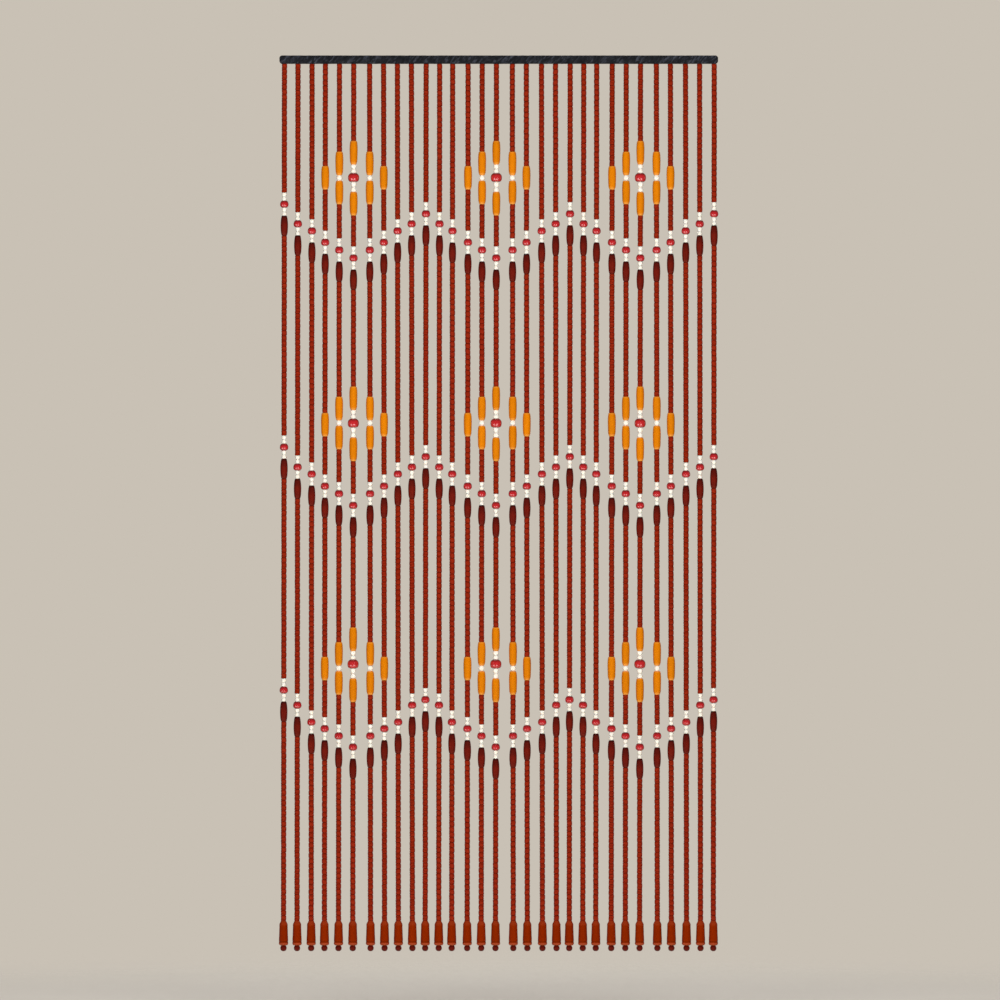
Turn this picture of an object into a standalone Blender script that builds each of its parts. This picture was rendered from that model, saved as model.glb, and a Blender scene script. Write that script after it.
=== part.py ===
"""A bead curtain: a covered header bar with thirty-one strands of wooden and
white beads hanging under it. The strands carry three zigzag rows and three rows
of lozenge motifs. All sizes are in metres, +X runs along the bar, +Z is up, the
front faces -Y, and the origin is the middle of the bar's top face."""

import math
from collections import namedtuple

import bmesh
import bpy
from mathutils import Matrix

# Header bar
HEADER_LENGTH = 0.895
HEADER_DEPTH = 0.020
HEADER_HEIGHT = 0.0167
HEADER_END_RADIUS = 0.0062
HEADER_END_STEPS = 4
HEADER_RIM_RADIUS = 0.0015
HEADER_RIM_STEPS = 2
RIM_ANGLE = math.radians(40.0)

# Strands: each hangs just under the bar and ends at the same depth below its top
STRANDS = 31
SEAT_GAP = 0.0003
CURTAIN_DROP = 1.8278
SIDES = 4
FIRST_STRAND_X = -0.4373
REPEAT = 10
MOTIF_STRAND = 6
TWIST_RADIUS = 0.0053

# Gap from each strand of a repeat to the next one, starting with the first strand
GAPS = (0.0276, 0.0265, 0.0316, 0.0287, 0.0291, 0.0324, 0.0286, 0.0309, 0.0286, 0.0300)
# The left end of the bar was threaded by eye, so these gaps differ there
FIRST_REPEAT_GAPS = {2: 0.0288, 3: 0.0271, 8: 0.0282}

# How far a strand's foot drifts sideways: these of each repeat go right, the rest left
FOOT_DRIFT = 0.0020
DRIFT_RIGHT = (7, 8, 9, 10)

# A bead: its length, its material, and its rings as (share of its length, radius)
Bead = namedtuple("Bead", "length material rings")
BEADS = {
    "white_pair": Bead(
        0.0168, "white_lacquer", ((0.22, 0.0045), (0.56, 0.0026), (0.82, 0.0045))
    ),
    "upper_pair": Bead(
        0.0178, "white_lacquer", ((0.24, 0.0053), (0.56, 0.0031), (0.82, 0.0053))
    ),
    "lower_pair": Bead(
        0.0207, "white_lacquer", ((0.24, 0.0053), (0.56, 0.0031), (0.82, 0.0053))
    ),
    "white_bead": Bead(
        0.0114, "white_lacquer", ((0.00, 0.0028), (0.50, 0.0055), (1.00, 0.0028))
    ),
    "crimson_bead": Bead(
        0.0139,
        "crimson_lacquer",
        ((0.00, 0.0052), (0.27, 0.0081), (0.73, 0.0081), (1.00, 0.0052)),
    ),
    "large_crimson": Bead(
        0.0178,
        "crimson_lacquer",
        ((0.00, 0.0066), (0.27, 0.0107), (0.73, 0.0107), (1.00, 0.0066)),
    ),
    "dark_olive": Bead(
        0.0410,
        "burgundy_wood",
        ((0.00, 0.0055), (0.36, 0.0075), (0.62, 0.0075), (1.00, 0.0048)),
    ),
    "amber_barrel": Bead(
        0.0481,
        "amber_wood",
        ((0.00, 0.0061), (0.25, 0.0080), (0.84, 0.0074), (1.00, 0.0050)),
    ),
    "end_bell": Bead(
        0.0500,
        "chestnut_wood",
        ((0.00, 0.0056), (0.16, 0.0085), (0.94, 0.0097), (1.00, 0.0085)),
    ),
    "stop_bead": Bead(
        0.0122,
        "burgundy_wood",
        ((0.00, 0.0042), (0.32, 0.0064), (0.68, 0.0064), (1.00, 0.0032)),
    ),
}
# A step between two beads that is finer than this shares one ring
JOINED_STEP = 0.0014

# Bead sequences, from the top down
ZIGZAG_GROUP = ("white_pair", "crimson_bead", "white_pair", "dark_olive")
MOTIF_GROUPS = {
    0: ("amber_barrel", "upper_pair", "large_crimson", "lower_pair", "amber_barrel"),
    1: ("amber_barrel", "white_bead", "amber_barrel"),
    2: ("amber_barrel",),
}
END_GROUP = ("end_bell", "stop_bead")

# Depths below the bar's top. A column is the strand's distance from its motif's
# middle strand, 0 to 5; the zigzag is lowest there and peaks halfway between motifs
ZIGZAG_TOP = {
    "upper": (0.3894, 0.3730, 0.3573, 0.3341, 0.3196, 0.2991),
    "middle": (0.8943, 0.8703, 0.8550, 0.8303, 0.8161, 0.7949),
    "lower": (1.3875, 1.3648, 1.3499, 1.3364, 1.3019, 1.2907),
}
# Depth of each motif's middle, for the strands 0, 1 and 2 away from its centre
MOTIF_MIDDLE = {
    "upper": (0.2503, 0.2498, 0.2495),
    "middle": (0.7515, 0.7499, 0.7533),
    "lower": (1.2432, 1.2506, 1.2509),
}
ROWS = ("upper", "middle", "lower")
# The first strand's zigzag groups sit a little higher than the other peaks
FIRST_STRAND_RISE = 0.0196

# A material's colour as sRGB hex, and its roughness
FINISHES = {
    "header_felt": ("2B2A2F", 0.90),
    "red_wood": ("97260E", 0.35),
    "white_lacquer": ("F8F0E0", 0.25),
    "crimson_lacquer": ("BC1E22", 0.25),
    "burgundy_wood": ("6C1206", 0.30),
    "amber_wood": ("DE7E06", 0.35),
    "chestnut_wood": ("8A2804", 0.40),
}


def remove_all_objects():
    for thing in list(bpy.data.objects):
        bpy.data.objects.remove(thing, do_unlink=True)


def linear_colour(hex_colour):
    """An sRGB hex colour as linear red, green, blue and full alpha."""
    channels = [int(hex_colour[start : start + 2], 16) / 255 for start in (0, 2, 4)]
    linear = [
        c / 12.92 if c <= 0.04045 else ((c + 0.055) / 1.055) ** 2.4 for c in channels
    ]
    return (*linear, 1.0)


def finish(name):
    """The named finish, made the first time that it is asked for."""
    if name in bpy.data.materials:
        return bpy.data.materials[name]
    hex_colour, roughness = FINISHES[name]
    material = bpy.data.materials.new(name)
    material.use_nodes = True
    shader = material.node_tree.nodes["Principled BSDF"]
    shader.inputs["Base Color"].default_value = linear_colour(hex_colour)
    shader.inputs["Roughness"].default_value = roughness
    shader.inputs["Metallic"].default_value = 0.0
    return material


def add_object(name, mesh, location=(0.0, 0.0, 0.0)):
    thing = bpy.data.objects.new(name, mesh)
    thing.location = location
    bpy.context.collection.objects.link(thing)
    return thing


def make_header():
    """The bar: rounded at its four end corners, with a soft rim all round."""
    bm = bmesh.new()
    size = Matrix.Diagonal((HEADER_LENGTH, HEADER_DEPTH, HEADER_HEIGHT, 1.0))
    drop = Matrix.Translation((0.0, 0.0, -HEADER_HEIGHT / 2))
    bmesh.ops.create_cube(bm, size=1.0, matrix=drop @ size)
    end_corners = [
        edge
        for edge in bm.edges
        if abs(edge.verts[0].co.y - edge.verts[1].co.y) > HEADER_DEPTH / 2
    ]
    bmesh.ops.bevel(
        bm,
        geom=end_corners,
        offset=HEADER_END_RADIUS,
        segments=HEADER_END_STEPS,
        profile=0.5,
        affect="EDGES",
        material=-1,
    )
    mesh = bpy.data.meshes.new("header_bar")
    bm.to_mesh(mesh)
    bm.free()
    mesh.materials.append(finish("header_felt"))
    header = add_object("header_bar", mesh)
    rim = header.modifiers.new("soft_rim", "BEVEL")
    rim.width = HEADER_RIM_RADIUS
    rim.segments = HEADER_RIM_STEPS
    rim.limit_method = "ANGLE"
    rim.angle_limit = RIM_ANGLE
    return header


def strand_place(number):
    """How a strand of 1 to STRANDS stands in the pattern: X at the bar, distance from
    the nearest motif's middle strand (0 to 5), and sideways drift of its foot."""
    x = FIRST_STRAND_X
    for before in range(1, number):
        regular = GAPS[(before - 1) % REPEAT]
        x += FIRST_REPEAT_GAPS.get(before, regular)
    steps = (number - MOTIF_STRAND) % REPEAT
    distance = min(steps, REPEAT - steps)
    in_repeat = (number - 1) % REPEAT + 1
    drift = FOOT_DRIFT if in_repeat in DRIFT_RIGHT else -FOOT_DRIFT
    return x, distance, drift


def group_length(kinds):
    return sum(BEADS[kind].length for kind in kinds)


def place_group(kinds, top):
    """Beads of a group as (kind, top depth), one under the other."""
    placed = []
    for kind in kinds:
        placed.append((kind, top))
        top += BEADS[kind].length
    return placed


def strand_beads(distance, rise):
    """Every large bead of a strand, from the top down, as (kind, top depth)."""
    placed = []
    for row in ROWS:
        motif = MOTIF_GROUPS.get(distance)
        if motif:
            motif_top = MOTIF_MIDDLE[row][distance] - group_length(motif) / 2
            placed += place_group(motif, motif_top)
        placed += place_group(ZIGZAG_GROUP, ZIGZAG_TOP[row][distance] - rise)
    placed += place_group(END_GROUP, CURTAIN_DROP - group_length(END_GROUP))
    return placed


def strand_outline(distance, rise):
    """The turned outline as (radius, depth, material of the stretch above it). Runs of
    small twisted beads fill what the large beads leave."""
    outline = []

    def add_ring(radius, depth, material):
        last = outline[-1] if outline else None
        joined = last and abs(last[1] - depth) < SEAT_GAP
        if not (joined and abs(last[0] - radius) < JOINED_STEP):
            outline.append((radius, depth, material))

    depth = HEADER_HEIGHT + SEAT_GAP
    add_ring(TWIST_RADIUS, depth, "red_wood")
    for kind, top in strand_beads(distance, rise):
        bead = BEADS[kind]
        if top - depth > SEAT_GAP:
            add_ring(TWIST_RADIUS, depth, "red_wood")
            add_ring(TWIST_RADIUS, top, "red_wood")
        for share, radius in bead.rings:
            add_ring(radius, top + share * bead.length, bead.material)
        depth = top + bead.length
    return outline


def make_strand_mesh(name, distance, rise, drift):
    """A strand turned from its outline round its own hanging point, then leant."""
    outline = strand_outline(distance, rise)
    hang_depth = outline[0][1]
    bm = bmesh.new()
    on_axis_top = bm.verts.new((0.0, 0.0, 0.0))
    rings = [bm.verts.new((radius, 0.0, hang_depth - depth)) for radius, depth, _ in outline]
    on_axis_foot = bm.verts.new((0.0, 0.0, hang_depth - outline[-1][1]))
    chain = [on_axis_top, *rings, on_axis_foot]
    edges = [bm.edges.new(pair) for pair in zip(chain, chain[1:])]
    bmesh.ops.spin(
        bm,
        geom=chain + edges,
        cent=(0.0, 0.0, 0.0),
        axis=(0.0, 0.0, 1.0),
        angle=math.tau,
        steps=SIDES,
        use_merge=True,
    )
    bmesh.ops.remove_doubles(bm, verts=bm.verts, dist=1e-6)
    bmesh.ops.recalc_face_normals(bm, faces=bm.faces)
    mesh = bpy.data.meshes.new(name)
    slots = paint_beads(bm, outline, hang_depth)
    lean = Matrix.Identity(4)
    lean[0][2] = -drift / (outline[-1][1] - hang_depth)
    bmesh.ops.transform(bm, matrix=lean, verts=bm.verts)
    bm.to_mesh(mesh)
    bm.free()
    for slot in slots:
        mesh.materials.append(finish(slot))
    return mesh


def paint_beads(bm, outline, hang_depth):
    """Gives each face its bead's material, and lists the materials in slot order."""
    slots = sorted({material for _, _, material in outline})
    for face in bm.faces:
        middle = hang_depth - face.calc_center_median().z
        below = [material for _, depth, material in outline if depth >= middle]
        face.material_index = slots.index(below[0] if below else outline[-1][2])
    return slots


def make_strands():
    """All the strands. Those alike in pattern and drift share one mesh."""
    meshes = {}
    for number in range(1, STRANDS + 1):
        x, distance, drift = strand_place(number)
        rise = FIRST_STRAND_RISE if number == 1 else 0.0
        kind = (distance, rise, drift)
        name = f"strand_{number:02d}"
        if kind not in meshes:
            meshes[kind] = make_strand_mesh(name, *kind)
        add_object(name, meshes[kind], (x, 0.0, -HEADER_HEIGHT - SEAT_GAP))


def main():
    remove_all_objects()
    make_header()
    make_strands()


main()
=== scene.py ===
# %% [markdown]
# # A bead curtain, bead by bead
# This lesson dresses a bead curtain: a felt-covered bar with thirty-one strands of
# turned wooden beads. The imported model gives the bar and, for each strand, one plain
# four-sided solid. Here every bead on a strand becomes a real turned shape.
# We start by loading that model and keeping its meshes, which the new pieces replace.

# %% Load the frame
import math
import random

import bmesh
import bpy
from mathutils import Matrix, Vector, noise


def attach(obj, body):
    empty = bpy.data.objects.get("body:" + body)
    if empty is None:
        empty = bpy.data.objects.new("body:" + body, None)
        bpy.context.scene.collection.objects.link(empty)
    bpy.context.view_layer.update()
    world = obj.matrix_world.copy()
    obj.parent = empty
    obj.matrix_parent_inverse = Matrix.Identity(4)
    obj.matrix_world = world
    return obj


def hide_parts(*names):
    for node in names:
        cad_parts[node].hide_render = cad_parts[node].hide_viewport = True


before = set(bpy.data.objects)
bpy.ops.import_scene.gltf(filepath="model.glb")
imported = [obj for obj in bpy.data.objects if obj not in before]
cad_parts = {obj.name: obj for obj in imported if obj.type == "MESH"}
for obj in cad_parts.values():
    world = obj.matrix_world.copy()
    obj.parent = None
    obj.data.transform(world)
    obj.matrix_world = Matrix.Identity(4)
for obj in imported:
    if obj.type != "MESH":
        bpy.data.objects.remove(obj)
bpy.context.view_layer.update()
print("nodes in the frame:", len(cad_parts))

# %% [markdown]
# ## The camera
# The curtain is seen square on, from far enough away that no strand shows its side. One
# pixel of the picture is 2.0408 mm on the curtain. A long lens eighteen metres away gives
# the same flat view. The lens follows from the distance and the width that the picture
# shows.

# %% Camera
MM = 0.001
PIXEL = 2.0408 * MM
PICTURE = 1000
CURTAIN_MIDDLE_X = 498.75
BAR_TOP_Y = 55.6
CAMERA_DISTANCE = 18.0
SENSOR = 36.0

camera_data = bpy.data.cameras.new("camera")
camera_data.sensor_width = SENSOR
camera_data.lens = SENSOR * CAMERA_DISTANCE / (PICTURE * PIXEL)
camera = bpy.data.objects.new("camera", camera_data)
camera.location = (
    (PICTURE / 2 - CURTAIN_MIDDLE_X) * PIXEL,
    -CAMERA_DISTANCE,
    -(PICTURE / 2 - BAR_TOP_Y) * PIXEL,
)
camera.rotation_euler = (math.radians(90), 0, 0)
bpy.context.scene.collection.objects.link(camera)
bpy.context.scene.camera = camera
print("lens:", round(camera_data.lens, 1), "mm")

# %% [markdown]
# ## The strands' own lines
# A strand hangs nearly plumb, but its foot drifts 2 mm to one side, and its beads have to
# follow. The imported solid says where: the middle of its highest points is where the
# strand hangs, and the middle of its lowest points is its foot.

# %% Strand lines
STRANDS = 31
STRAND_NODES = [f"strand_{number:02d}" for number in range(1, STRANDS + 1)]


def middle_of(points):
    return sum(points, Vector()) / len(points)


def strand_line(node):
    """The strand's hanging point and its foot."""
    points = [vertex.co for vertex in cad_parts[node].data.vertices]
    top = max(point.z for point in points)
    foot = min(point.z for point in points)
    near = 0.01 * MM
    hangs_at = middle_of([point for point in points if top - point.z < near])
    ends_at = middle_of([point for point in points if point.z - foot < near])
    return hangs_at, ends_at


strand_lines = [strand_line(node) for node in STRAND_NODES]


def on_strand(index, depth):
    """The point of a strand at a depth below the bar's top."""
    hangs_at, ends_at = strand_lines[index]
    share = (depth + hangs_at.z) / (hangs_at.z - ends_at.z)
    return hangs_at.lerp(ends_at, share)


first_bead_depth = -strand_lines[0][0].z
curtain_foot = -strand_lines[0][1].z
print("strands run from", round(first_bead_depth, 4), "to", round(curtain_foot, 4), "m")

# %% [markdown]
# ## The threading chart
# A threader works from a chart: which beads go on each strand, and how far down. It has
# three kinds of group: the beads of a zigzag row, the beads of a lozenge motif, and the
# bell with its stop bead. Lengths are in metres, along the thread.

# %% Bead lengths and groups
BEAD_LENGTH = {
    "white_pair": 0.0168,
    "upper_pair": 0.0178,
    "lower_pair": 0.0207,
    "white_bead": 0.0114,
    "crimson_bead": 0.0139,
    "large_crimson": 0.0178,
    "dark_olive": 0.0410,
    "amber_barrel": 0.0481,
    "end_bell": 0.0494,
    "stop_bead": 0.0128,
}
ZIGZAG_GROUP = ("white_pair", "crimson_bead", "white_pair", "dark_olive")
MOTIF_GROUPS = {
    0: ("amber_barrel", "upper_pair", "large_crimson", "lower_pair", "amber_barrel"),
    1: ("amber_barrel", "white_bead", "amber_barrel"),
    2: ("amber_barrel",),
}
END_GROUP = ("end_bell", "stop_bead")


def group_length(kinds):
    return sum(BEAD_LENGTH[kind] for kind in kinds)


def threaded(kinds, top):
    """A group's beads as (kind, top depth), one under the other."""
    beads = []
    for kind in kinds:
        beads.append((kind, top))
        top += BEAD_LENGTH[kind]
    return beads


print("a zigzag group is", round(group_length(ZIGZAG_GROUP), 4), "m long")

# %% [markdown]
# The chart repeats every ten strands. The sixth strand of a repeat is the middle of the
# lozenge motifs and the lowest point of the zigzags, so one number, a strand's distance
# from it, says everything about that strand. Only the first strand of all is different:
# its zigzag groups hang a little higher. Depths are metres below the bar's top.

# %% Where the groups hang
REPEAT = 10
MOTIF_STRAND = 6
ROWS = ("upper", "middle", "lower")
# Columns: a strand's distance from the motif's middle strand, 0 to 5
ZIGZAG_TOP = {
    "upper": (0.3894, 0.3730, 0.3573, 0.3341, 0.3196, 0.2991),
    "middle": (0.8943, 0.8703, 0.8550, 0.8303, 0.8161, 0.7949),
    "lower": (1.3875, 1.3648, 1.3499, 1.3364, 1.3019, 1.2907),
}
FIRST_STRAND_RISE = 0.0196
MOTIF_MIDDLE = {
    "upper": (0.2503, 0.2498, 0.2495),
    "middle": (0.7515, 0.7499, 0.7533),
    "lower": (1.2432, 1.2506, 1.2509),
}


def large_beads(index):
    """All the large beads of a strand, top down, as (kind, top depth)."""
    steps = (index + 1 - MOTIF_STRAND) % REPEAT
    distance = min(steps, REPEAT - steps)
    rise = FIRST_STRAND_RISE if index == 0 else 0.0
    beads = []
    for row in ROWS:
        motif = MOTIF_GROUPS.get(distance)
        if motif:
            top = MOTIF_MIDDLE[row][distance] - group_length(motif) / 2
            beads += threaded(motif, top)
        beads += threaded(ZIGZAG_GROUP, ZIGZAG_TOP[row][distance] - rise)
    return beads + threaded(END_GROUP, curtain_foot - group_length(END_GROUP))


chart = [large_beads(index) for index in range(STRANDS)]
print("large beads on the curtain:", sum(len(beads) for beads in chart))

# %% [markdown]
# ## Node materials
# Every finish below is a small node tree. A few helpers keep them short: one turns an
# sRGB hex colour into the linear numbers that shaders work with, one adds a node with its
# settings and its links in a single call, and one mixes two colours.

# %% Material helpers


def linear(hex_colour):
    """An sRGB hex colour as linear red, green, blue and alpha."""
    channels = [int(hex_colour[start : start + 2], 16) / 255 for start in (0, 2, 4)]
    return (
        *(c / 12.92 if c <= 0.04045 else ((c + 0.055) / 1.055) ** 2.4 for c in channels),
        1.0,
    )


def add_node(tree, kind, inputs=None, **settings):
    """Adds a node. An input takes a plain value, or the output socket that feeds it."""
    node = tree.nodes.new(kind)
    for name, value in settings.items():
        setattr(node, name, value)
    for name, value in (inputs or {}).items():
        if isinstance(value, bpy.types.NodeSocket):
            tree.links.new(value, node.inputs[name])
        else:
            node.inputs[name].default_value = value
    return node


def mixed(tree, share, first, second):
    """The colour between two colours. The share is the second one's."""
    inputs = {0: share, 6: first, 7: second}
    return add_node(tree, "ShaderNodeMix", inputs, data_type="RGBA").outputs[2]


def new_finish(name, constants):
    """A material, and its tree and shader. The constants are the same all over it."""
    material = bpy.data.materials.new(name)
    material.use_nodes = True
    shader = material.node_tree.nodes["Principled BSDF"]
    for socket, value in constants.items():
        shader.inputs[socket].default_value = value
    return material, material.node_tree, shader


print("amber in linear light:", [round(c, 3) for c in linear("E07D0C")])

# %% [markdown]
# ## Stained and lacquered wood
# All the plain wooden beads are small hardwood turnings, dipped in stain and then in
# clear lacquer. What the eye gets is: grain that runs along the thread as fine darker
# lines; a slightly different tone for each bead, because each piece of wood drinks the
# stain differently; a deeper colour in the grooves and joints, which is stain and painted
# shade together, and on some beads' tops, which is painted shade; and a paler rim on a
# bead's ends, which is a painted highlight, strongest at the foot. The grain is a noise
# stretched along Z. Tone, deep colour and rim highlight are numbers stored on the beads'
# own points, when the beads are made further down.

# %% Wood finish
GRAIN_WIDTH = 0.8 * MM  # real pores are finer, and wouldn't show at this scale
GRAIN_LENGTH = 14 * MM
FIBRE_RELIEF = 0.05 * MM
GRAIN_SHIFT = 40.0  # how far one bead's grain lies from the next one's in the noise


def turned_wood(name, stain, deep, rim, gloss, grain, roughness, tone_spread):
    """Lacquered turned wood: its stain, the deep colour of its grain, grooves and painted
    shade, the colour of the painted highlight on its rims, and the tint that the stained
    lacquer gives its gloss."""
    constants = {"IOR": 1.5, "Specular IOR Level": 0.4, "Specular Tint": linear(gloss)}
    wood, tree, shader = new_finish(name, constants)
    numbers = {
        number: add_node(tree, "ShaderNodeAttribute", attribute_name=number).outputs["Fac"]
        for number in ("tone", "stain_and_shade", "rim")
    }
    place = add_node(tree, "ShaderNodeTexCoord").outputs["Object"]
    stretch = (1 / GRAIN_WIDTH, 1 / GRAIN_WIDTH, 1 / GRAIN_LENGTH)
    along = add_node(tree, "ShaderNodeMapping", {"Vector": place, "Scale": stretch})
    shift = add_node(
        tree, "ShaderNodeMath", {0: numbers["tone"], 1: GRAIN_SHIFT}, operation="MULTIPLY"
    )
    fibre = add_node(
        tree,
        "ShaderNodeTexNoise",
        {"Vector": along.outputs["Vector"], "W": shift.outputs[0], "Scale": 1.0, "Detail": 3.0},
        noise_dimensions="4D",
    ).outputs["Fac"]
    streak = add_node(
        tree,
        "ShaderNodeMapRange",
        {"Value": fibre, "From Min": 0.38, "From Max": 0.72, "To Max": grain},
    )
    grained = mixed(tree, streak.outputs[0], linear(stain), linear(deep))
    value = add_node(
        tree,
        "ShaderNodeMapRange",
        {"Value": numbers["tone"], "To Min": 1 - tone_spread, "To Max": 1 + tone_spread},
    )
    toned = add_node(
        tree, "ShaderNodeHueSaturation", {"Color": grained, "Value": value.outputs[0]}
    ).outputs["Color"]
    # Deeper colour from the bead's own number: stain, and painted shade
    stained_and_shaded = mixed(tree, numbers["stain_and_shade"], toned, linear(deep))
    # Paler colour from the bead's own number: a painted highlight on the rims
    rimmed = mixed(tree, numbers["rim"], stained_and_shaded, linear(rim))
    shine = add_node(
        tree,
        "ShaderNodeMapRange",
        {"Value": fibre, "To Min": roughness - 0.06, "To Max": roughness + 0.1},
    )
    relief = add_node(
        tree,
        "ShaderNodeBump",
        {"Height": fibre, "Strength": 0.5, "Distance": FIBRE_RELIEF},
    )
    tree.links.new(rimmed, shader.inputs["Base Color"])
    tree.links.new(shine.outputs[0], shader.inputs["Roughness"])
    tree.links.new(relief.outputs["Normal"], shader.inputs["Normal"])
    return wood


red_wood = turned_wood(
    "red_brown_stained_wood",
    stain="922610",
    deep="6C1404",
    rim="9C301A",
    gloss="D85830",
    grain=0.35,
    roughness=0.36,
    tone_spread=0.07,
)
amber_wood = turned_wood(
    "amber_stained_wood",
    stain="DC7C05",
    deep="B46002",
    rim="EE9C40",
    gloss="FFA848",
    grain=0.45,
    roughness=0.42,
    tone_spread=0.05,
)
burgundy_wood = turned_wood(
    "burgundy_stained_wood",
    stain="6E180D",
    deep="3A0E0B",
    rim="6A2014",
    gloss="C05844",
    grain=0.45,
    roughness=0.34,
    tone_spread=0.08,
)
chestnut_wood = turned_wood(
    "chestnut_stained_wood",
    stain="882400",
    deep="661A00",
    rim="AC4C2C",
    gloss="A04818",
    grain=0.40,
    roughness=0.45,
    tone_spread=0.06,
)
print("wood finishes:", 4)

# %% [markdown]
# ## Gloss lacquer
# The white and crimson beads are dipped in opaque gloss lacquer, so no grain shows. The
# eye gets a deep even colour with sharp small highlights, a faint orange-peel ripple about
# 2 mm across, and a little more colour where the lacquer pooled. On the crimson beads the
# deeper colour also lies on the ends as painted shade, most of all at the top. The white is
# milky: light goes a few millimetres into it, which keeps its edges bright. The crimson lies
# thick and hard, so its highlights are stronger, and it tints its own gloss.

# %% Lacquer finish
PEEL_SIZE = 2.2 * MM
PEEL_RELIEF = 0.03 * MM


def gloss_lacquer(name, colour, pooled_and_shaded, roughness, constants):
    """Opaque lacquer on wood, a little deeper where it pooled and where the bead has painted
    shade.
    """
    lacquer, tree, shader = new_finish(name, {"IOR": 1.5, "Coat Roughness": 0.08, **constants})
    place = add_node(tree, "ShaderNodeTexCoord").outputs["Object"]
    tone = add_node(tree, "ShaderNodeAttribute", attribute_name="tone").outputs["Fac"]
    stain_and_shade = add_node(tree, "ShaderNodeAttribute", attribute_name="stain_and_shade").outputs["Fac"]
    peel = add_node(
        tree,
        "ShaderNodeTexNoise",
        {"Vector": place, "W": tone, "Scale": 1 / PEEL_SIZE, "Detail": 1.0},
        noise_dimensions="4D",
    ).outputs["Fac"]
    patch = add_node(
        tree,
        "ShaderNodeMapRange",
        {"Value": peel, "From Min": 0.4, "From Max": 0.8, "To Max": 0.4},
    )
    # Deeper colour in random patches of pooled lacquer, and painted shade from the bead's own
    # number
    pooling_and_shade = add_node(
        tree, "ShaderNodeMath", {0: patch.outputs[0], 1: stain_and_shade}, operation="MAXIMUM"
    )
    coloured = mixed(tree, pooling_and_shade.outputs[0], linear(colour), linear(pooled_and_shaded))
    shine = add_node(
        tree,
        "ShaderNodeMapRange",
        {"Value": peel, "To Min": roughness, "To Max": roughness + 0.12},
    )
    relief = add_node(
        tree,
        "ShaderNodeBump",
        {"Height": peel, "Strength": 0.4, "Distance": PEEL_RELIEF},
    )
    tree.links.new(coloured, shader.inputs["Base Color"])
    tree.links.new(shine.outputs[0], shader.inputs["Roughness"])
    tree.links.new(relief.outputs["Normal"], shader.inputs["Normal"])
    return lacquer


MILKY = {
    "Subsurface Weight": 0.6,
    "Subsurface Radius": (1.0, 0.9, 0.8),
    "Subsurface Scale": 2.5 * MM,
}
white_lacquer = gloss_lacquer(
    "ivory_white_lacquer", "FFF3E4", "F8EEDE", 0.24, {"Coat Weight": 0.3, **MILKY}
)
TINTED = {
    "Coat Weight": 1.0,
    "Coat IOR": 1.75,
    "Specular IOR Level": 0.4,
    "Specular Tint": linear("F08078"),
}
# Its deeper colour is pooled lacquer, and painted shade on the ends, most of all at the top
crimson_lacquer = gloss_lacquer("crimson_lacquer", "C62226", "7C0E12", 0.26, TINTED)
print("lacquer finishes:", 2)

# %% [markdown]
# ## Turning a bead
# A bead comes off a lathe, and bmesh has the same tool: spin turns a profile round the
# thread's axis. A profile is a list of radius and depth in millimetres, from the middle of
# the bead's top to the middle of its foot, so the turned shell is closed at both ends.
# Each bead gets two numbers here, each from a small function of where a point lies: one for
# deeper stain and painted shade, one for a painted highlight on its rims. The prototype is
# made once, and copies of it are threaded later.

# %% Lathe helpers
WELD = 0.001 * MM  # points nearer than this become one


def turn(profile, sides):
    """A closed turned bead whose top face lies at zero height."""
    bm = bmesh.new()
    chain = [bm.verts.new((radius * MM, 0.0, -depth * MM)) for radius, depth in profile]
    edges = [bm.edges.new(pair) for pair in zip(chain, chain[1:])]
    bmesh.ops.spin(
        bm,
        geom=chain + edges,
        cent=(0, 0, 0),
        axis=(0, 0, 1),
        angle=math.tau,
        steps=sides,
        use_merge=True,
    )
    bmesh.ops.remove_doubles(bm, verts=bm.verts, dist=WELD)
    return bm


def bead_shape(name, bm, stain_and_shade=None, rim=None):
    """Finishes a prototype. Each rule gives a number from radius and depth in mm: the first
    for deeper stain and painted shade, the second for a painted highlight on the rims.
    """
    bmesh.ops.recalc_face_normals(bm, faces=bm.faces)
    bm.verts.layers.float.new("tone")
    for number, rule in (("stain_and_shade", stain_and_shade), ("rim", rim)):
        layer = bm.verts.layers.float.new(number)
        if rule:
            for vert in bm.verts:
                vert[layer] = rule(vert.co.xy.length / MM, -vert.co.z / MM)
    for face in bm.faces:
        face.smooth = True
    shape = bpy.data.meshes.new(name)
    bm.to_mesh(shape)
    bm.free()
    print(name, "has", len(shape.polygons), "faces")
    return shape


def ramp(value, start, end):
    """0 up to start, 1 from end on, and evenly between."""
    return min(1.0, max(0.0, (value - start) / (end - start)))


# %% [markdown]
# ## The small twisted beads
# Nearly four thousand small beads fill the strands. Each is one turn of a screw: a soft
# groove winds once round it, left-handed on most strands and right-handed on the others.
# Spinning a one-pitch profile while it climbs cuts that screw. We turn three threads, slice
# one bead out of their middle between two planes, close its ends, and ease them a little.
# The stain is deepest in the groove and in the joint between two beads; this deep colour is
# painted shade there as well as stain.

# %% Twisted bead
TWIST_PITCH = 10.7  # mm, also the bead's length
TWIST_RADIUS = 5.7
TWIST_GROOVE = 0.6  # mm deep
TWIST_STEPS = 9  # to a turn
TWIST_TURNS = 3
# Shares of the pitch, each with its share of the groove's depth
TWIST_PROFILE = ((0.0, 1.0), (0.2, 0.22), (0.5, 0.0), (0.8, 0.22), (1.0, 1.0))
GROOVE_STAIN_AND_SHADE = 0.7  # how much of the deep colour the groove takes
JOINT_STAIN_AND_SHADE = 1.3  # mm, how far the joint's dark reaches
END_EASE = 0.9  # mm
END_RADIUS = 0.85  # an end's share of the full radius


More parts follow.
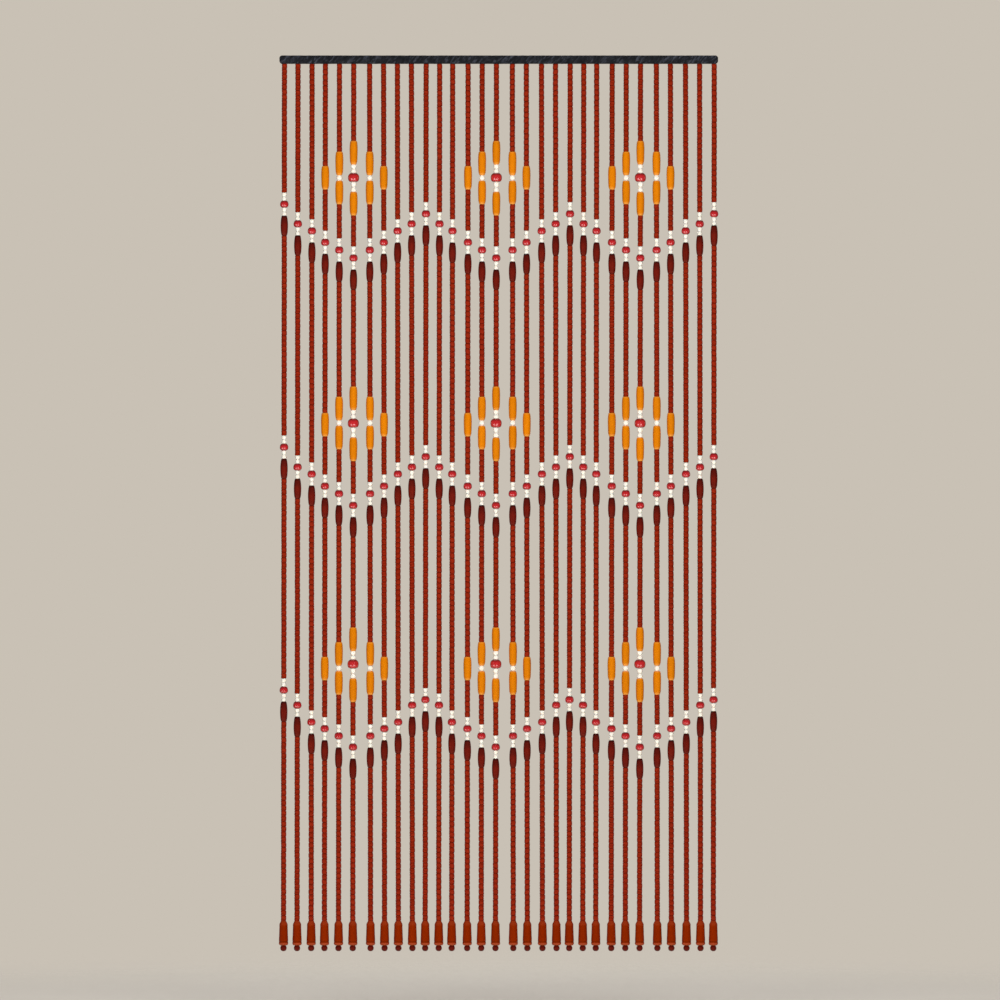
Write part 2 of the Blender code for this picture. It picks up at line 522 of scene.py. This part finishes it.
def slice_off(bm, height, keep_below):
    """Cuts the bead level at a height and closes the cut."""
    side = (0, 0, 1) if keep_below else (0, 0, -1)
    cut = bmesh.ops.bisect_plane(
        bm,
        geom=bm.verts[:] + bm.edges[:] + bm.faces[:],
        plane_co=(0, 0, height * MM),
        plane_no=side,
        clear_outer=True,
        dist=WELD,
    )
    loop = [item for item in cut["geom_cut"] if isinstance(item, bmesh.types.BMEdge)]
    bmesh.ops.holes_fill(bm, edges=loop, sides=0)


def twisted_bead(name, right_handed):
    bm = bmesh.new()
    chain = [
        bm.verts.new(((TWIST_RADIUS - TWIST_GROOVE * dip) * MM, 0, share * TWIST_PITCH * MM))
        for share, dip in TWIST_PROFILE
    ]
    edges = [bm.edges.new(pair) for pair in zip(chain, chain[1:])]
    bmesh.ops.spin(
        bm,
        geom=chain + edges,
        cent=(0, 0, 0),
        axis=(0, 0, 1),
        dvec=(0, 0, TWIST_PITCH * MM / TWIST_STEPS),
        angle=TWIST_TURNS * math.tau,
        steps=TWIST_TURNS * TWIST_STEPS,
    )
    bead_top = (TWIST_TURNS / 2 + 1) * TWIST_PITCH
    bmesh.ops.translate(bm, verts=bm.verts, vec=(0, 0, -bead_top * MM))
    bmesh.ops.remove_doubles(bm, verts=bm.verts, dist=WELD)
    slice_off(bm, 0, keep_below=True)
    slice_off(bm, -TWIST_PITCH, keep_below=False)
    for height in (-END_EASE, END_EASE - TWIST_PITCH):
        bmesh.ops.bisect_plane(
            bm,
            geom=bm.verts[:] + bm.edges[:] + bm.faces[:],
            plane_co=(0, 0, height * MM),
            plane_no=(0, 0, 1),
            dist=0.2 * MM,
        )
    at_ends = [v for v in bm.verts if min(-v.co.z, v.co.z + TWIST_PITCH * MM) < 0.01 * MM]
    bmesh.ops.scale(bm, verts=at_ends, vec=(END_RADIUS, END_RADIUS, 1))
    if not right_handed:
        bmesh.ops.scale(bm, verts=bm.verts, vec=(-1, 1, 1))

    # The deep colour in the groove and the joint: stain and painted shade together
    def stain_and_shade(radius, depth):
        from_end = min(depth, TWIST_PITCH - depth)
        cut = GROOVE_STAIN_AND_SHADE * ramp(TWIST_RADIUS - radius, 0.1, TWIST_GROOVE)
        return max(cut, 1 - ramp(from_end, 0.0, JOINT_STAIN_AND_SHADE))

    return bead_shape(name, bm, stain_and_shade=stain_and_shade)


twisted = {
    "left": twisted_bead("twisted_bead_left", right_handed=False),
    "right": twisted_bead("twisted_bead_right", right_handed=True),
}

# %% [markdown]
# ## Barrels and olives
# The amber barrels and the dark olives are the long beads. Both are drawn in towards their
# ends, which are cut flat with a small eased edge. A barrel is fullest above its middle and
# keeps nearly straight sides from there down. Its foot, and faintly its top edge, carry a
# painted highlight.

# %% Amber barrel
BARREL = BEAD_LENGTH["amber_barrel"] / MM
BARREL_PROFILE = (
    (0, 0),
    (5.5, 0),
    (6.4, 0.4),
    (6.9, 1.5),
    (7.45, 4.0),
    (7.9, 8.0),
    (8.15, 13.0),
    (8.25, 18.5),
    (8.1, 25.0),
    (7.95, 31.0),
    (7.8, 37.0),
    (7.5, 41.0),
    (7.1, 43.2),
    (6.4, 45.2),
    (5.8, 47.2),
    (5.1, BARREL),
    (0, BARREL),
)
amber_barrel = bead_shape(
    "amber_barrel",
    turn(BARREL_PROFILE, sides=20),
    # Painted highlight: faint on the top edge, full on the foot
    rim=lambda radius, depth: max(
        0.35 * (1 - ramp(depth, 1.4, 3.9)), ramp(depth, BARREL - 5.2, BARREL - 1.7)
    ),
)

# %% [markdown]
# An olive has a rounder belly. It is painted darker at the top and lightest just below the
# middle, as painted shade, and its foot carries a painted highlight.

# %% Dark olive
OLIVE = BEAD_LENGTH["dark_olive"] / MM
OLIVE_PROFILE = (
    (0, 0),
    (4.7, 0),
    (5.45, 0.4),
    (5.85, 2.0),
    (6.5, 5.0),
    (7.0, 9.0),
    (7.4, 13.5),
    (7.6, 19.0),
    (7.55, 24.5),
    (7.25, 29.0),
    (6.95, 33.5),
    (6.45, 36.5),
    (5.75, 39.0),
    (5.1, 40.6),
    (4.3, OLIVE),
    (0, OLIVE),
)


def olive_shade(radius, depth):
    """How much painted shade, in the deep stain colour, an olive shows at a depth."""
    top = 1 - ramp(depth, 2.4, 4.6)
    upper = 0.5 * (1 - ramp(depth, 11, 19))
    return max(top, upper, 0.3 * ramp(depth, 27, 35))


dark_olive = bead_shape(
    "dark_olive",
    turn(OLIVE_PROFILE, sides=18),
    stain_and_shade=olive_shade,
    # Painted highlight on the foot
    rim=lambda radius, depth: 0.5 * ramp(depth, OLIVE - 6.0, OLIVE - 3.0),
)

# %% [markdown]
# ## Bells and stop beads
# Each strand ends in a bell: a shoulder just below its top, straight flaring sides, a fine
# line turned near the foot, darkened as stain and painted shade, and a rounded foot with a
# shallow hollow under it. The foot, and faintly the band under the top, carry a painted
# highlight.

# %% End bell
BELL = BEAD_LENGTH["end_bell"] / MM
BELL_PROFILE = (
    (0, 0.4),
    (3.0, 0.0),
    (5.0, 0.0),
    (5.5, 0.4),
    (5.95, 2.0),
    (7.1, 4.0),
    (8.1, 6.0),
    (8.5, 8.0),
    (8.4, 11.0),
    (8.45, 15.0),
    (8.65, 19.0),
    (8.8, 25.0),
    (8.95, 30.0),
    (9.25, 34.5),
    (9.35, 38.5),
    (9.3, 41.6),
    (9.1, 42.3),
    (9.1, 43.1),
    (9.35, 43.9),
    (9.65, 46.0),
    (9.5, 47.3),
    (8.9, 48.5),
    (7.7, 49.6),
    (6.6, 50.3),
    (5.9, 50.3),
    (5.2, BELL),
    (0, BELL),
)
end_bell = bead_shape(
    "end_bell",
    turn(BELL_PROFILE, sides=24),
    # The turned line is darker: stain and painted shade
    stain_and_shade=lambda radius, depth: float(radius < 9.15 and 42.2 < depth < 43.2),
    # Painted highlight: faint under the top, strong on the rounded foot
    rim=lambda radius, depth: max(
        0.2 * (1 - ramp(depth, 7, 10)), 0.9 * ramp(depth, 44.5, 46.5) * float(radius > 5.8)
    ),
)

# %% [markdown]
# The round stop bead is seated in the bell's hollow and holds everything up. Its bore shows
# at the bottom.

# %% Stop bead
STOP = BEAD_LENGTH["stop_bead"] / MM
STOP_RADIUS = 6.6
STOP_STEPS = 9
STOP_FULLNESS = 0.8  # 1 is a ball, and less is fuller
STOP_BORE = ((1.2, STOP - 0.1), (1.0, STOP - 0.9), (0, STOP - 1.0))


def stop_side(step):
    """Radius and depth of a point of the stop bead's side."""
    angle = math.pi * step / STOP_STEPS
    radius = STOP_RADIUS * math.sin(angle) ** STOP_FULLNESS
    return radius, STOP / 2 * (1 - math.cos(angle))


stop_curve = [stop_side(step) for step in range(1, STOP_STEPS)]
stop_bead = bead_shape(
    "stop_bead",
    turn([(0, 0), *stop_curve, *STOP_BORE], sides=16),
    # Deeper stain all over, and painted shade at the top
    stain_and_shade=lambda radius, depth: 0.3 + 0.4 * (1 - ramp(depth, 1, 6)),
)

# %% [markdown]
# ## White and crimson beads
# Most of the white beads hang in pairs. Each is a small pear, and their narrow ends meet in
# a waist, so a pair reads as a little bone. They come off the same lathe as the others.

# %% White pairs
WAIST = 0.53  # the upper bead's share of a pair


def pear_profile(length, radius, neck):
    """Radius and depth of a pear bead with its narrow end at the foot."""
    return [
        (0, 0),
        (0.66 * radius, 0),
        (0.93 * radius, 0.14 * length),
        (radius, 0.42 * length),
        (0.83 * radius, 0.72 * length),
        (neck, length),
        (0, length),
    ]


def upside_down(profile):
    length = profile[-1][1]
    return [(radius, length - depth) for radius, depth in reversed(profile)]


def pear_pair(pair, radius, neck):
    """The two beads of a pair, each with the share of the pair's length above it."""
    length = BEAD_LENGTH[pair] / MM
    upper = pear_profile(WAIST * length, radius, neck)
    lower = upside_down(pear_profile((1 - WAIST) * length, radius, neck))
    return (
        (0.0, bead_shape(pair + "_upper", turn(upper, sides=12))),
        (WAIST, bead_shape(pair + "_lower", turn(lower, sides=12))),
    )


white_pair = pear_pair("white_pair", radius=5.15, neck=3.5)
upper_pair = pear_pair("upper_pair", radius=6.2, neck=4.3)
lower_pair = pear_pair("lower_pair", radius=6.1, neck=4.1)

# %% [markdown]
# A single white bead sits between the two barrels beside a motif's middle. It is nearly a
# ball, with flat ends and eased edges. A power a little above two makes its curve.

# %% White single bead
WHITE = BEAD_LENGTH["white_bead"] / MM
WHITE_RADIUS = 6.2
WHITE_END = 3.6
WHITE_FULLNESS = 2.3  # 2 is a parabola, and more is fuller
WHITE_ROWS = 6
EDGE_EASE = 0.7


def white_side(row):
    """Radius and depth of a point of the single white bead's side."""
    share = row / WHITE_ROWS
    full = 1 - abs(2 * share - 1) ** WHITE_FULLNESS
    radius = WHITE_END + (WHITE_RADIUS - WHITE_END) * full
    return radius, EDGE_EASE + share * (WHITE - 2 * EDGE_EASE)


WHITE_PROFILE = (
    (0, 0),
    (WHITE_END - EDGE_EASE, 0),
    (WHITE_END - 0.2, 0.25),
    *(white_side(row) for row in range(WHITE_ROWS + 1)),
    (WHITE_END - 0.2, WHITE - 0.25),
    (WHITE_END - EDGE_EASE, WHITE),
    (0, WHITE),
)
white_bead = bead_shape("white_bead", turn(WHITE_PROFILE, sides=14))

# %% [markdown]
# The crimson beads are nearly drums: broad flat ends and a full, slightly rounded side.
# The large one is the middle of a motif.

# %% Crimson beads
CRIMSON = BEAD_LENGTH["crimson_bead"] / MM
LARGE_CRIMSON = BEAD_LENGTH["large_crimson"] / MM


def end_shade(length):
    """Painted shade: the flat ends are made deeper, most of all at the top."""

    def shade(radius, depth):
        top = 1 - ramp(depth, 0.8, 6.4)
        foot = 1 - ramp(length - depth, 0.1, 1.4)
        return max(top, foot)

    return shade


CRIMSON_PROFILE = (
    (0, 0),
    (5.0, 0),
    (6.0, 0.5),
    (7.0, 1.7),
    (7.9, 3.4),
    (8.5, 5.4),
    (8.7, 7.4),
    (8.6, 9.2),
    (8.0, 10.9),
    (7.0, 12.3),
    (5.6, 13.4),
    (4.8, CRIMSON),
    (0, CRIMSON),
)
LARGE_CRIMSON_PROFILE = (
    (0, 0),
    (6.2, 0),
    (7.3, 0.6),
    (8.6, 1.8),
    (10.2, 3.4),
    (11.0, 5.4),
    (11.4, 7.4),
    (11.5, 9.2),
    (11.4, 11.0),
    (11.1, 12.8),
    (10.5, 14.6),
    (9.4, 16.2),
    (8.0, 17.2),
    (6.2, LARGE_CRIMSON),
    (0, LARGE_CRIMSON),
)
crimson_bead = bead_shape(
    "crimson_bead", turn(CRIMSON_PROFILE, sides=18), stain_and_shade=end_shade(CRIMSON)
)
large_crimson = bead_shape(
    "large_crimson", turn(LARGE_CRIMSON_PROFILE, sides=24), stain_and_shade=end_shade(LARGE_CRIMSON)
)

# %% [markdown]
# ## Threading
# A threaded piece is one mesh that holds many copies of a prototype. Each copy is moved to
# its place, given its own tone from a seeded random draw, and added to the mesh. A piece
# rides on the curtain's only body, takes its finish, and replaces the plain strands that
# it stands in for.

# %% Threading helpers
draw = random.Random(31)


def stamp(bm, shape, place, tone):
    """Adds one bead to a piece, in its place and with its own tone."""
    bead = shape.copy()
    bead.transform(place)
    bead.attributes["tone"].data.foreach_set("value", [tone] * len(bead.vertices))
    bm.from_mesh(bead)
    bpy.data.meshes.remove(bead)


def threaded_piece(name, bm, finish, nodes):
    """Makes a piece of the beads in a bmesh and hangs it on the curtain."""
    mesh = bpy.data.meshes.new(name)
    bm.to_mesh(mesh)
    bm.free()
    mesh.materials.append(finish)
    piece = bpy.data.objects.new(name, mesh)
    bpy.context.scene.collection.objects.link(piece)
    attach(piece, "root")
    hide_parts(*nodes)
    return piece


# %% [markdown]
# The runs of twisted beads fill whatever the large beads leave on a strand. A run is
# shared out evenly, so its beads touch each other and both neighbours. A threaded bead can
# turn on its cord, but these were pulled up tight, so the grooves nearly line up.

# %% Thread the twisted beads
RIGHT_HANDED = (7, 8, 9, 10)  # the strands of each repeat whose grooves wind the other way
TURN_SPREAD = 0.30  # radians
SHORTEST_RUN = 1 * MM


def runs_between(beads):
    """The stretches of a strand that small beads fill, as (top, foot) depths."""
    runs = []
    depth = first_bead_depth
    for kind, top in beads:
        if top - depth > SHORTEST_RUN:
            runs.append((depth, top))
        depth = top + BEAD_LENGTH[kind]
    return runs


bead_count = 0
for index, node in enumerate(STRAND_NODES):
    in_repeat = index % REPEAT + 1
    shape = twisted["right" if in_repeat in RIGHT_HANDED else "left"]
    lining_up = draw.uniform(0, math.tau)
    strand = bmesh.new()
    for top, foot in runs_between(chart[index]):
        count = max(1, round((foot - top) / (TWIST_PITCH * MM)))
        length = (foot - top) / count
        for step in range(count):
            turned = Matrix.Rotation(lining_up + draw.gauss(0, TURN_SPREAD), 4, "Z")
            fitted = Matrix.Diagonal((1, 1, length / (TWIST_PITCH * MM), 1))
            place = Matrix.Translation(on_strand(index, top + step * length))
            stamp(strand, shape, place @ turned @ fitted, draw.random())
        bead_count += count
    threaded_piece(f"twisted_beads_{index + 1:02d}", strand, red_wood, [node])
print("twisted beads:", bead_count)

# %% [markdown]
# The large beads are threaded by kind, right across the curtain, so that each kind is one
# piece. A pair is two beads, each with its share of the pair's length above it.

# %% Thread the large beads
KINDS = (
    ("amber_barrels", amber_wood, "amber_wood", {"amber_barrel": ((0, amber_barrel),)}),
    ("dark_olives", burgundy_wood, "burgundy_wood", {"dark_olive": ((0, dark_olive),)}),
    ("end_bells", chestnut_wood, "chestnut_wood", {"end_bell": ((0, end_bell),)}),
    ("stop_beads", burgundy_wood, "burgundy_wood", {"stop_bead": ((0, stop_bead),)}),
    (
        "white_beads",
        white_lacquer,
        "white_lacquer",
        {
            "white_pair": white_pair,
            "upper_pair": upper_pair,
            "lower_pair": lower_pair,
            "white_bead": ((0, white_bead),),
        },
    ),
    (
        "crimson_beads",
        crimson_lacquer,
        "crimson_lacquer",
        {"crimson_bead": ((0, crimson_bead),), "large_crimson": ((0, large_crimson),)},
    ),
)
for name, finish, slot, shapes in KINDS:
    beads = bmesh.new()
    nodes = []
    for index, node in enumerate(STRAND_NODES):
        for kind, top in chart[index]:
            for share, shape in shapes.get(kind, ()):
                depth = top + share * BEAD_LENGTH[kind]
                turned = Matrix.Rotation(draw.uniform(0, math.tau), 4, "Z")
                place = Matrix.Translation(on_strand(index, depth))
                stamp(beads, shape, place @ turned, draw.random())
                if node not in nodes:
                    nodes.append(node)
    piece = threaded_piece(name, beads, finish, nodes)
    print(name, "has", len(piece.data.polygons), "faces")

# %% [markdown]
# ## The threading cords
# A dark red twisted cord, 1.6 mm thick, runs through every strand, from the bar to the
# bore of the stop bead. The beads hide nearly all of it, and where it shows the eye gets a
# dull dark line. One thin six-sided rod a strand is enough.

# %% Cords
CORD_RADIUS = 0.8 * MM
CORD_SHORT = 0.5 * MM  # how far it stops inside each end

cord_finish, tree, shader = new_finish("twisted_cord", {"Sheen Weight": 0.3})
place = add_node(tree, "ShaderNodeTexCoord").outputs["Object"]
lay = add_node(
    tree,
    "ShaderNodeTexNoise",
    {"Vector": place, "Scale": 1 / CORD_RADIUS, "Detail": 2.0},
).outputs["Fac"]
yarn = mixed(tree, lay, linear("3E0E08"), linear("6E2014"))
roughness = add_node(tree, "ShaderNodeMapRange", {"Value": lay, "To Min": 0.7, "To Max": 0.95})
tree.links.new(yarn, shader.inputs["Base Color"])
tree.links.new(roughness.outputs[0], shader.inputs["Roughness"])

cords = bmesh.new()
for hangs_at, ends_at in strand_lines:
    run = hangs_at - ends_at
    middle = (hangs_at + ends_at) / 2
    bmesh.ops.create_cone(
        cords,
        cap_ends=True,
        segments=6,
        radius1=CORD_RADIUS,
        radius2=CORD_RADIUS,
        depth=run.length - 2 * CORD_SHORT,
        matrix=Matrix.Translation(middle) @ run.to_track_quat("Z", "Y").to_matrix().to_4x4(),
    )
threaded_piece("threading_cords", cords, cord_finish, STRAND_NODES)
print("cords:", STRANDS)

# %% [markdown]
# ## The felt-covered bar
# The bar is a batten in charcoal felt, brushed so that its nap lies in slanting patches,
# lighter and darker by turns. It starts as a box with its end corners and rims rounded by
# bevels, and is cut into a fine net. Then each point moves a fraction of a millimetre in or
# out, which gives the soft uneven edge of cloth.

# %% Bar
BAR_LENGTH = 0.895
BAR_DEPTH = 0.020
BAR_HEIGHT = 0.0167
END_CORNER = 0.0062
RIM_EASE = 0.0015
NET = 2.5 * MM
NAP_RELIEF = 0.22 * MM
LUMP = 6 * MM
FINE_LUMP = 2.5 * MM
FINE_SHARE = 0.6
INWARD = 0.6  # shifts the lumps inwards, so that few stand past the bar's size


def cut_across(bm, axis, start, end, step):
    """Cuts a mesh by evenly spaced planes across one axis."""
    count = round((end - start) / step)
    for number in range(1, count):
        at = Vector((0, 0, 0))
        at[axis] = start + (end - start) * number / count
        across = Vector((0, 0, 0))
        across[axis] = 1
        bmesh.ops.bisect_plane(
            bm,
            geom=bm.verts[:] + bm.edges[:] + bm.faces[:],
            plane_co=at,
            plane_no=across,
            dist=0.05 * MM,
        )


bar = bmesh.new()
bmesh.ops.create_cube(
    bar,
    matrix=Matrix.Translation((0, 0, -BAR_HEIGHT / 2))
    @ Matrix.Diagonal((BAR_LENGTH, BAR_DEPTH, BAR_HEIGHT, 1)),
)
end_corners = [
    edge
    for edge in bar.edges
    if abs(edge.verts[0].co.y - edge.verts[1].co.y) > BAR_DEPTH / 2
]
bmesh.ops.bevel(
    bar,
    geom=end_corners,
    offset=END_CORNER,
    segments=8,
    profile=0.5,
    affect="EDGES",
    material=-1,
)
front_and_back = [
    edge
    for edge in bar.edges
    if all(abs(abs(vert.co.y) - BAR_DEPTH / 2) < 0.01 * MM for vert in edge.verts)
]
bmesh.ops.bevel(
    bar,
    geom=front_and_back,
    offset=RIM_EASE,
    segments=3,
    profile=0.5,
    affect="EDGES",
    material=-1,
)
cut_across(bar, 0, -BAR_LENGTH / 2, BAR_LENGTH / 2, NET)
cut_across(bar, 1, -BAR_DEPTH / 2, BAR_DEPTH / 2, NET)
cut_across(bar, 2, -BAR_HEIGHT, 0, NET)
bmesh.ops.recalc_face_normals(bar, faces=bar.faces)
if bar.calc_volume(signed=True) < 0:
    bmesh.ops.reverse_faces(bar, faces=bar.faces)
bar.normal_update()
for vert in bar.verts:
    lump = noise.noise(vert.co / LUMP) + FINE_SHARE * noise.noise(vert.co / FINE_LUMP)
    vert.co += vert.normal * NAP_RELIEF * (lump - INWARD)
for face in bar.faces:
    face.smooth = True
print("bar faces:", len(bar.faces), "volume:", round(bar.calc_volume(signed=True), 6), "m3")

# %% [markdown]
# Felt has no thread pattern. Its nap is what shows: patches of fibres that lie the same
# way, about 4 mm wide and 14 mm long, slanting up to the right, with a soft sheen at the
# edges and a fine fibre fuzz.

# %% Felt finish
PATCH_WIDTH = 4 * MM
PATCH_LENGTH = 14 * MM
FIBRE = 0.6 * MM
FUZZ_RELIEF = 0.3 * MM
NAP_SLANT = math.radians(50)

felt, tree, shader = new_finish(
    "brushed_charcoal_felt",
    {
        "Roughness": 0.9,
        "Specular IOR Level": 0.12,
        "Sheen Weight": 0.08,
        "Sheen Roughness": 0.4,
        "Sheen Tint": linear("9A98A8"),
    },
)
place = add_node(tree, "ShaderNodeTexCoord").outputs["Object"]
slanted = add_node(
    tree,
    "ShaderNodeMapping",
    {"Vector": place, "Rotation": (0, NAP_SLANT, 0)},
)
stretched = add_node(
    tree,
    "ShaderNodeMapping",
    {
        "Vector": slanted.outputs["Vector"],
        "Scale": (1 / PATCH_LENGTH, 1 / PATCH_WIDTH, 1 / PATCH_WIDTH),
    },
)
patches = add_node(
    tree,
    "ShaderNodeTexNoise",
    {"Vector": stretched.outputs["Vector"], "Scale": 1.0, "Detail": 4.0, "Distortion": 0.8},
).outputs["Fac"]
fuzz = add_node(
    tree,
    "ShaderNodeTexNoise",
    {"Vector": place, "Scale": 1 / FIBRE, "Detail": 2.0},
).outputs["Fac"]
shade = add_node(tree, "ShaderNodeValToRGB", {"Fac": patches})
shade.color_ramp.elements[0].position = 0.32
shade.color_ramp.elements[0].color = linear("141518")
shade.color_ramp.elements[1].position = 0.72
shade.color_ramp.elements[1].color = linear("42454E")
middle_shade = shade.color_ramp.elements.new(0.52)
middle_shade.color = linear("1F2024")
speckle = add_node(tree, "ShaderNodeMapRange", {"Value": fuzz, "To Min": 0.6, "To Max": 1.4})
speckled = add_node(
    tree,
    "ShaderNodeHueSaturation",
    {"Color": shade.outputs["Color"], "Value": speckle.outputs[0]},
)
nap = add_node(
    tree, "ShaderNodeBump", {"Height": fuzz, "Strength": 0.6, "Distance": FUZZ_RELIEF}
)
tree.links.new(speckled.outputs["Color"], shader.inputs["Base Color"])
tree.links.new(nap.outputs["Normal"], shader.inputs["Normal"])
threaded_piece("felt_covered_bar", bar, felt, ["header_bar"])
print("the nap slants by", round(math.degrees(NAP_SLANT)), "degrees")

# %% [markdown]
# ## The studio
# Two large boxes in front and one behind light the curtain evenly from top to bottom.
# They leave no reflection, so the glossy beads keep a saturated middle. No light shows to
# the camera.

# %% Soft boxes
AIM = Vector((0, 0, -0.9))


def soft_box(name, place, width, height, watts):
    light = bpy.data.lights.new(name, "AREA")
    light.shape = "RECTANGLE"
    light.size = width
    light.size_y = height
    light.energy = watts
    box = bpy.data.objects.new(name, light)
    box.location = place
    box.rotation_euler = (AIM - Vector(place)).to_track_quat("-Z", "Y").to_euler()
    box.visible_camera = False
    box.visible_glossy = False
    bpy.context.scene.collection.objects.link(box)


soft_box("front_box_left", (-1.2, -3.0, -0.2), width=1.8, height=2.0, watts=67)
soft_box("front_box_right", (1.2, -3.0, -0.2), width=1.8, height=2.0, watts=67)
soft_box("back_box", (0, 3.6, 1.6), width=2.5, height=2.0, watts=120)
print("soft boxes:", len(bpy.data.lights))

# %% [markdown]
# Two distant round lights from below do the opposite: they add no light, and show only as
# the pair of glints in the lower half of each lacquered bead. A distant light is seen in
# the same direction from everywhere, so the glints lie at the same place on all beads.

# %% Glint lights
GLINT_SPREAD = 0.7  # radians across, as seen from the beads
GLINT_STRENGTH = 1.2


def glint_light(name, seen_towards):
    light = bpy.data.lights.new(name, "SUN")
    light.angle = GLINT_SPREAD
    light.energy = GLINT_STRENGTH
    sun = bpy.data.objects.new(name, light)
    sun.location = 3 * Vector(seen_towards)  # out of the way: only its turn counts
    sun.rotation_euler = (-Vector(seen_towards)).to_track_quat("-Z", "Y").to_euler()
    sun.visible_camera = False
    sun.visible_diffuse = False
    bpy.context.scene.collection.objects.link(sun)


glint_light("glint_left", (-0.60, -0.66, -0.44))
glint_light("glint_right", (0.31, -0.83, -0.46))
print("all lights:", len(bpy.data.lights))

# %% [markdown]
# The surroundings light the beads dimly, so their edges stay dark, while the camera sees a
# pale even background.

# %% Surroundings
world = bpy.data.worlds.new("studio")
bpy.context.scene.world = world
world.use_nodes = True
tree = world.node_tree
tree.nodes.clear()
ray = add_node(tree, "ShaderNodeLightPath").outputs["Is Camera Ray"]
dim = add_node(tree, "ShaderNodeBackground", {"Color": linear("E8EAEE"), "Strength": 0.10})
pale = add_node(tree, "ShaderNodeBackground", {"Color": linear("C9C1B5"), "Strength": 1.0})
either = add_node(tree, "ShaderNodeMixShader", {0: ray, 1: dim.outputs[0], 2: pale.outputs[0]})
add_node(tree, "ShaderNodeOutputWorld", {"Surface": either.outputs[0]})
print("surroundings:", world.name)

# %% [markdown]
# The floor is a disc of matt pale plaster just under the curtain. The eye gets an even
# tone with no shine, which fades out at the disc's edge so that no line shows behind the
# strands.

# %% Floor
FLOOR_DEPTH = 1.95
FLOOR_RADIUS = 2.6
FADE_START = 0.5
floor_bm = bmesh.new()
bmesh.ops.create_circle(
    floor_bm,
    cap_ends=True,
    segments=64,
    radius=FLOOR_RADIUS,
    matrix=Matrix.Translation((0, 0, -FLOOR_DEPTH)),
)
floor_mesh = bpy.data.meshes.new("floor")
floor_bm.to_mesh(floor_mesh)
floor_bm.free()
floor = bpy.data.objects.new("floor", floor_mesh)
floor.visible_shadow = False  # the glint lights come from below it
bpy.context.scene.collection.objects.link(floor)

plaster, tree, shader = new_finish("pale_floor", {"Roughness": 0.9, "Specular IOR Level": 0.0})
shader.inputs["Base Color"].default_value = linear("E4DDD2")
place = add_node(tree, "ShaderNodeTexCoord").outputs["Object"]
flat = add_node(tree, "ShaderNodeVectorMath", {0: place, 1: (1, 1, 0)}, operation="MULTIPLY")
reach = add_node(tree, "ShaderNodeVectorMath", {0: flat.outputs[0]}, operation="LENGTH")
fade = add_node(
    tree,
    "ShaderNodeMapRange",
    {
        "Value": reach.outputs["Value"],
        "From Min": FADE_START,
        "From Max": FLOOR_RADIUS,
        "To Min": 1.0,
        "To Max": 0.0,
    },
    interpolation_type="SMOOTHERSTEP",
)
tree.links.new(fade.outputs[0], shader.inputs["Alpha"])
floor_mesh.materials.append(plaster)
bpy.context.scene.view_settings.view_transform = "Standard"
print("floor", FLOOR_DEPTH, "m under the bar's top")

# %% Finish
bpy.context.view_layer.update()
